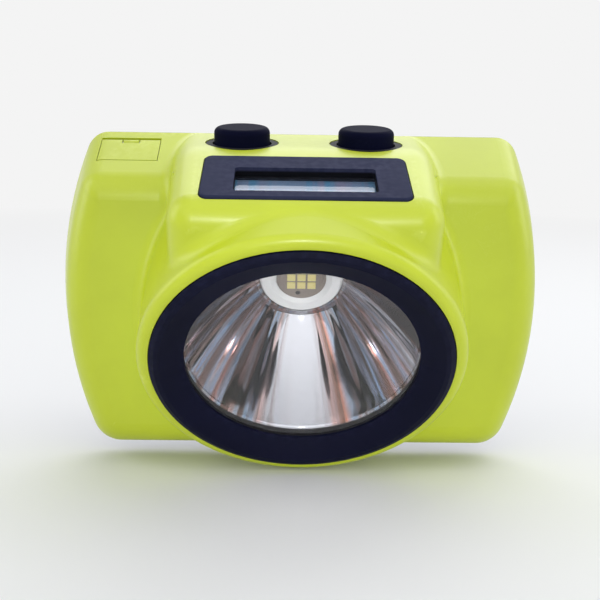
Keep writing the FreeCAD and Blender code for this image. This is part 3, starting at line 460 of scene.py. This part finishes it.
# %% Board lacquer
def board_lacquer(name, colour, track):
    tree, shader, material = new_material(name)
    place = tree.nodes.new("ShaderNodeTexCoord").outputs["Object"]
    tracks = add(tree, "ShaderNodeTexBrick", Vector=place, Scale=260.0, offset=0.37, squash=1.7)
    tracks.inputs["Mortar Size"].default_value = 0.09
    tracks.inputs["Mortar Smooth"].default_value = 0.3
    tree.links.new(mix_colour(tree, tracks.outputs["Fac"], colour, track), shader.inputs["Base Color"])
    shine = use_group(tree, moulded, Grain_Size=4000.0, Roughness=0.32, Unevenness=0.1)
    tree.links.new(shine["Roughness"], shader.inputs["Roughness"])
    bump(tree, shader, tracks.outputs["Fac"], 0.00003)
    return material


green_board = board_lacquer("green_board", srgb(20, 82, 42), srgb(46, 120, 62))
white_lacquer = moulded_plastic("white_lacquer", srgb(232, 232, 228), srgb(222, 222, 217),
                                srgb(240, 240, 238), roughness=0.35, wear=0.1, marked=0.05)
print("boards made")

# %% [markdown]
# ## Glass
#
# The window is clear plastic. A ray tracer darkens what lies behind solid glass,
# because lamps can't be aimed at through it. Letting only the shadow rays pass
# straight through keeps the mirror behind the window as bright as it really is.

# %% Clear window
def clear_glass(name, tint, roughness=0.0, ior=1.49):
    tree, shader, material = new_material(name)
    shader.inputs["Base Color"].default_value = tint
    shader.inputs["Transmission Weight"].default_value = 1.0
    shader.inputs["Roughness"].default_value = roughness
    shader.inputs["IOR"].default_value = ior
    film = use_group(tree, moulded, Grain_Size=700.0, Roughness=0.0, Unevenness=0.0)
    bump(tree, shader, film["Cloud"], 0.000001)
    path = tree.nodes.new("ShaderNodeLightPath")
    clear = add(tree, "ShaderNodeBsdfTransparent", Color=tint)
    pick = tree.nodes.new("ShaderNodeMixShader")
    tree.links.new(path.outputs["Is Shadow Ray"], pick.inputs[0])
    tree.links.new(shader.outputs[0], pick.inputs[1])
    tree.links.new(clear.outputs[0], pick.inputs[2])
    tree.links.new(pick.outputs[0], tree.nodes["Material Output"].inputs["Surface"])
    return material


window_glass = clear_glass("window_glass", srgb(252, 253, 255))
pane_glass = clear_glass("pane_glass", srgb(214, 220, 232))
print("glass made")

# %% [markdown]
# ## Finishes go on the solids
#
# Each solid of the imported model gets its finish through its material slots. Its shape
# stays as it is.

# %% Give every solid its material
finishes = {
    shell_plastic: ["front_shell", "port_cover"],
    cover_plastic: ["rear_cover"],
    ring_plastic: ["bezel_ring"],
    frame_plastic: ["display_bezel"],
    button_rubber: ["left_button", "right_button"],
    collar_rubber: ["button_collars"],
    seal_rubber: ["housing_seal", "lens_gasket"],
    foam: ["display_gasket", "battery_pads"],
    pad_silicone: ["thermal_pad"],
    white_plastic: ["led_centring_ring"],
    switch_plastic: ["left_switch", "right_switch"],
    plunger_plastic: ["left_switch_plunger", "right_switch_plunger"],
    wire_sleeve: ["led_leads", "battery_leads", "charge_leads"],
    flex_film: ["display_ribbon"],
    clip_steel: ["helmet_clip"],
    screw_steel: ["cover_screws", "clip_screws", "led_board_screws", "main_board_screws", "port_cover_pin"],
    socket_steel: ["charge_socket"],
    sink_metal: ["heat_sink"],
    cell_foil: ["battery_cells"],
    green_board: ["main_board", "charge_board", "battery_guard_board", "display_module"],
    white_lacquer: ["led_board", "main_led", "reflector"],
    window_glass: ["lens"],
    pane_glass: ["display_window"],
}
dressed = 0
for material, names in finishes.items():
    for name in names:
        mesh = nodes[name].data
        mesh.materials.clear()
        mesh.materials.append(material)
        dressed += 1
print("solids with a finish:", dressed, "without:", len(nodes) - dressed)

# %% [markdown]
# ## The mirror
#
# The mirror is a deep bowl of metallised plastic. The real one is slightly wavy
# round its axis, which breaks the reflections at both sides into long streaks towards
# the light source. Its highest and lowest parts are calm, and the lowest shows one
# bright arch. The solid is a plain bowl, so a mesh with that waviness takes its place.
# At the sides the material paints reflections into the metal's colour: it turns a little
# darker there, with streaks from copper to pale blue and brown. For that, the material
# works out the angle round the beam from the place on the surface.

# %% The lamp's own axes
beam_tilt = math.radians(121.7)
ring_centre = Vector((0, -37.65, -13.05))


def along_beam(x, y, z):
    """A point given in millimetres along the beam, in the frame of the whole lamp."""
    turned_y = y * math.cos(beam_tilt) - z * math.sin(beam_tilt)
    turned_z = y * math.sin(beam_tilt) + z * math.cos(beam_tilt)
    return (ring_centre + Vector((x, turned_y, turned_z))) * MM


def make_piece(name, points, faces, material, body, slot):
    """A mesh object that rides on a body and wears the given material; the slot argument is not used."""
    mesh = bpy.data.meshes.new(name)
    mesh.from_pydata(points, [], faces)
    mesh.validate()
    for polygon in mesh.polygons:
        polygon.use_smooth = True
    mesh.materials.append(material)
    piece = bpy.data.objects.new(name, mesh)
    bpy.context.scene.collection.objects.link(piece)
    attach(piece, body)
    return piece


def turned(outline, steps, ripple=None):
    """Points and faces of a closed (radius, depth) outline turned about the beam."""
    points, faces = [], []
    count = len(outline)
    for step in range(steps):
        angle = 2 * math.pi * step / steps
        for radius, depth in outline:
            wave = ripple(radius, depth, angle) if ripple else 0
            reached = radius + wave
            points.append(along_beam(reached * math.cos(angle), reached * math.sin(angle), depth))
    for step in range(steps):
        here, there = step * count, (step + 1) % steps * count
        for index in range(count):
            after = (index + 1) % count
            faces.append((here + index, here + after, there + after, there + index))
    return points, faces


print("ring centre:", along_beam(0, 0, 0))

# %% Mirror with fine waves
mirror_front, mirror_depth = -5.4, 18.1
neck_radius, mouth_radius, mirror_wall = 7.6, 19.9, 1.1
flange_radius, flange_thickness, neck_length = 21.2, 1.0, 1.0
mirror_floor = mirror_front - mirror_depth
wave_height = 0.085
wave_parts = ((0.7, 7, 0.9), (0.45, 13, 2.1), (0.3, 23, 0.4), (0.22, 37, 0.0), (0.16, 53, 1.3))


def bowl_radius(depth):
    share = (depth - mirror_floor) / mirror_depth
    return math.sqrt(neck_radius ** 2 + share * (mouth_radius ** 2 - neck_radius ** 2))


def waves(radius, depth, angle):
    """Small waves round the bowl, only on its inside and gone at its ends."""
    inside = abs(radius - bowl_radius(max(depth, mirror_floor))) < 0.01 and depth < mirror_front - 0.2
    if not inside or depth < mirror_floor + 0.3:
        return 0
    fade = min(1.0, (depth - mirror_floor) / 3, (mirror_front - depth) / 1.5)
    calm = min(1.0, max(0.0, (abs(math.cos(angle)) - 0.2) / 0.14))
    size = sum(share * math.sin(count * angle + start) for share, count, start in wave_parts)
    return wave_height * fade * calm * size


rows = 28
inside = [(bowl_radius(mirror_floor + mirror_depth * row / rows), mirror_floor + mirror_depth * row / rows)
          for row in range(rows + 1)]
outside = [(radius + mirror_wall, depth) for radius, depth in reversed(inside) if depth < mirror_front - 2.4]
flange_back = mirror_front - flange_thickness
bowl = inside + [(flange_radius, mirror_front), (flange_radius, flange_back),
                 (bowl_radius(flange_back) + mirror_wall, flange_back)] + outside
neck_end = mirror_floor - neck_length
bowl += [(neck_radius + mirror_wall, neck_end), (neck_radius, neck_end)]


def dot_node(tree, vector, direction):
    """How far a vector reaches along a direction."""
    node = tree.nodes.new("ShaderNodeVectorMath")
    node.operation = "DOT_PRODUCT"
    tree.links.new(vector, node.inputs[0])
    node.inputs[1].default_value = direction
    return node.outputs["Value"]


tree, shader, mirror_metal = new_material("mirror_metal")
haze = use_group(tree, moulded, Grain_Size=1200.0, Roughness=0.06, Unevenness=0.04)
place = tree.nodes.new("ShaderNodeTexCoord").outputs["Object"]
beam_up = Vector((0, math.cos(beam_tilt), math.sin(beam_tilt)))
height = math_node(tree, "SUBTRACT", dot_node(tree, place, beam_up), beam_up.dot(ring_centre) * MM)
round_beam = math_node(tree, "ARCTAN2", height, dot_node(tree, place, (1, 0, 0)))
aside = math_node(tree, "ABSOLUTE", math_node(tree, "COSINE", round_beam, 0.0), 0.0)
# Painted reflection: towards the sides the metal's colour turns darker and carries copper, pale blue and brown
# streaks round the beam.
side_reflection_share = spread(tree, aside, 0.22, 0.42, 0.0, 1.0)
film = [(3.0, srgb(214, 150, 126)), (4.5, srgb(156, 176, 196)), (8.0, srgb(126, 100, 88))]
colour = mix_colour(tree, side_reflection_share, srgb(206, 206, 210), srgb(184, 184, 190))
for streaks, tint in film:
    noise = add(tree, "ShaderNodeTexNoise", noise_dimensions="1D", W=round_beam, Scale=streaks, Detail=3.0)
    share = spread(tree, noise.outputs[0], 0.47, 0.58, 0.0, 0.9)
    colour = mix_colour(tree, math_node(tree, "MULTIPLY", share, side_reflection_share), colour, tint)
tree.links.new(colour, shader.inputs["Base Color"])
shader.inputs["Metallic"].default_value = 1.0
tree.links.new(haze["Roughness"], shader.inputs["Roughness"])
bump(tree, shader, haze["Cloud"], 0.00002)
mirror = make_piece("mirror_bowl", *turned(bowl, 360, waves), mirror_metal, "housing", "mirror")
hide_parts("reflector")
print("mirror points:", len(mirror.data.vertices))

# %% [markdown]
# ## The light source
#
# Under the mirror's neck sits a small ceramic plate with nine yellow tiles, which are
# the light-giving dies under their phosphor, and a drop of dark sealant over the
# sensor beside them. The solid is a plain disc. Each block here starts as a cube in a
# bmesh, is stretched between two corners, bevelled and turned into its place.

# %% Bevelled blocks and small turned drops
def bevelled_block(low, high, bevel, slot, place):
    """Mesh data of one block between two corners, given in a frame that place turns."""
    work = bmesh.new()
    bmesh.ops.create_cube(work, size=1)
    for point in work.verts:
        share = point.co + Vector((0.5, 0.5, 0.5))
        point.co = [a + part * (b - a) for a, b, part in zip(low, high, share)]
    bmesh.ops.bevel(work, geom=work.edges[:], offset=bevel, segments=3, profile=0.5, affect="EDGES")
    for face in work.faces:
        face.material_index = slot
    return placed_data(work, place)


def round_drop(x, y, z, radius, height, slot, place):
    """Mesh data of a flat dome that sits on a surface."""
    work = bmesh.new()
    bmesh.ops.create_uvsphere(work, u_segments=20, v_segments=12, radius=radius)
    for point in work.verts:
        point.co = Vector((x, y, z)) + Vector((point.co.x, point.co.y, point.co.z * height / radius))
    for face in work.faces:
        face.material_index = slot
    return placed_data(work, place)


def placed_data(work, place):
    for point in work.verts:
        point.co = place(*point.co)
    data = bpy.data.meshes.new("data")
    work.to_mesh(data)
    work.free()
    return data


def joined_piece(name, parts, materials, body):
    """One object out of several mesh data, riding on a body."""
    work = bmesh.new()
    for data in parts:
        work.from_mesh(data)
        bpy.data.meshes.remove(data)
    bmesh.ops.recalc_face_normals(work, faces=work.faces[:])
    mesh = bpy.data.meshes.new(name)
    work.to_mesh(mesh)
    work.free()
    for material in materials:
        mesh.materials.append(material)
    piece = bpy.data.objects.new(name, mesh)
    bpy.context.scene.collection.objects.link(piece)
    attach(piece, body)
    return piece


print("block helpers ready")

# %% Ceramic plate with its dies
source_floor = neck_end
plate_height, plate_radius, cap_radius, cap_height = 0.9, 4.5, 4.0, 1.1
die_size, die_pitch, die_height, die_shift, die_bevel = 1.5, 1.85, 1.28, 0.8, 0.06
drop_x, drop_y, drop_radius, drop_height = -0.6, -2.9, 0.45, 0.18

ceramic = moulded_plastic("ceramic", srgb(142, 130, 120), srgb(124, 112, 102), srgb(176, 166, 154),
                          roughness=0.5, grain=4000.0, depth=0.00001)
phosphor = moulded_plastic("phosphor", srgb(228, 216, 146), srgb(218, 204, 128), srgb(244, 236, 180),
                           roughness=0.6, grain=12000.0, wear=0.0, marked=0.0)
sealant = moulded_plastic("sealant", srgb(40, 34, 32), srgb(30, 26, 24), srgb(80, 74, 70), roughness=0.3,
                          wear=0.0, marked=0.0)

plate = [(0.0, 0.0), (plate_radius - 0.1, 0.0), (plate_radius, 0.1), (plate_radius, plate_height - 0.1),
         (plate_radius - 0.1, plate_height), (cap_radius + 0.05, plate_height),
         (cap_radius, cap_height - 0.05), (cap_radius - 0.1, cap_height), (0.0, cap_height)]
points, faces = turned([(radius, source_floor + depth) for radius, depth in plate], 72)
plate_data = bpy.data.meshes.new("data")
plate_data.from_pydata(points, [], faces)
parts = [plate_data]
for column in (-1, 0, 1):
    for row in (-1, 0, 1):
        x, y = column * die_pitch, row * die_pitch + die_shift
        half = die_size / 2
        parts.append(bevelled_block((x - half, y - half, source_floor + cap_height - 0.1),
                                    (x + half, y + half, source_floor + die_height),
                                    die_bevel, 1, along_beam))
parts.append(round_drop(drop_x, drop_y, source_floor + cap_height, drop_radius, drop_height, 2, along_beam))
source = joined_piece("light_source", parts, [ceramic, phosphor, sealant], "housing")
work = bmesh.new()
work.from_mesh(source.data)
bmesh.ops.remove_doubles(work, verts=work.verts[:], dist=1e-7)
work.to_mesh(source.data)
work.free()
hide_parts("main_led")
print("light source faces:", len(source.data.polygons))

# %% [markdown]
# ## The display
#
# Behind the pane lies a thin glass screen on its green carrier. It is switched off.
# Nearly all of it is a pale film with faint blue and pink streaks, partly its own colour
# and partly painted reflection, and only a narrow border at the edge towards the buttons
# is darker teal, a painted shade. The two meet in a straight line, so the material
# decides by the place across the screen, worked out along the display's own slope.

# %% Screen on its carrier
display_slope = math.radians(21.7)
display_centre = Vector((0, -39.17, 18.19))
screen_top, screen_thickness, carrier_thickness = -2.5, 0.7, 0.8
screen_half_width, carrier_half_width, screen_half_depth = 13.5, 15.0, 5.75
screen_bevel, carrier_bevel = 0.12, 0.06
# Where the painted shade at the screen's far edge begins, and how soft its edge is, in millimetres.
shade_edge, shade_blur = 4.9, 0.12


def on_display(x, y, z):
    """A point in millimetres in the display's own frame, in the frame of the whole lamp."""
    turned_y = y * math.cos(display_slope) - z * math.sin(display_slope)
    turned_z = y * math.sin(display_slope) + z * math.cos(display_slope)
    return (display_centre + Vector((x, turned_y, turned_z))) * MM


tree, shader, screen_glass = new_material("screen_glass")
place = tree.nodes.new("ShaderNodeTexCoord").outputs["Object"]
uphill = Vector((0, math.cos(display_slope), math.sin(display_slope)))
across = math_node(tree, "SUBTRACT", dot_node(tree, place, uphill), uphill.dot(display_centre) * MM)
sideways = dot_node(tree, place, (1, 0, 0))
# Pale screen colour with faint pink and blue streaks: partly the film's own colour, partly painted reflection
# on the glass.
film = srgb(168, 186, 200)
for size, tint in ((260.0, srgb(196, 176, 190)), (420.0, srgb(110, 190, 214))):
    noise = add(tree, "ShaderNodeTexNoise", noise_dimensions="1D", W=sideways, Scale=size, Detail=2.0)
    film = mix_colour(tree, spread(tree, noise.outputs[0], 0.5, 0.62, 0.0, 0.7), film, tint)
rows = add(tree, "ShaderNodeTexNoise", noise_dimensions="1D", W=across, Scale=2600.0, Detail=1.0)
film = mix_colour(tree, spread(tree, rows.outputs[0], 0.4, 0.6, 0.0, 0.25), film, srgb(104, 120, 136))
# Painted shade: beyond this edge the screen's colour turns dark teal.
edge_shade_share = spread(tree, across, (shade_edge - shade_blur) * MM, (shade_edge + shade_blur) * MM, 0.0, 1.0)
tree.links.new(mix_colour(tree, edge_shade_share, film, srgb(30, 52, 58)), shader.inputs["Base Color"])
gloss = use_group(tree, moulded, Grain_Size=600.0, Roughness=0.16, Unevenness=0.05)
tree.links.new(gloss["Roughness"], shader.inputs["Roughness"])
shader.inputs["Specular IOR Level"].default_value = 0.3

glass_low = screen_top - screen_thickness
parts = [bevelled_block((-screen_half_width, -screen_half_depth, glass_low),
                        (screen_half_width, screen_half_depth, screen_top), screen_bevel, 0, on_display),
         bevelled_block((-carrier_half_width, -screen_half_depth, glass_low - carrier_thickness),
                        (carrier_half_width, screen_half_depth, glass_low), carrier_bevel, 1, on_display)]
screen = joined_piece("display_screen", parts, [screen_glass, green_board], "housing")
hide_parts("display_module")
print("screen lies at", on_display(0, 0, screen_top))

# %% [markdown]
# ## The frame's opening
#
# The opening around the pane looks almost black, because little light
# gets down between its walls. The frame is one solid with one finish, so this shade is
# painted into its material, which turns darker below the frame's top face, measured along the display's own
# slope.

# %% Painted shade on the walls of the frame's opening
dark_from, light_from = -0.5, -0.15
tree = frame_plastic.node_tree
colour_in = tree.nodes["Principled BSDF"].inputs["Base Color"]
place = tree.nodes.new("ShaderNodeTexCoord").outputs["Object"]
outward = Vector((0, -math.sin(display_slope), math.cos(display_slope)))
height = math_node(tree, "SUBTRACT", dot_node(tree, place, outward), outward.dot(display_centre) * MM)
wall_shade_share = spread(tree, height, dark_from * MM, light_from * MM, 1.0, 0.0)
tree.links.new(mix_colour(tree, wall_shade_share, colour_in.links[0].from_socket, srgb(8, 9, 14)), colour_in)
print("walls of the opening darkened")
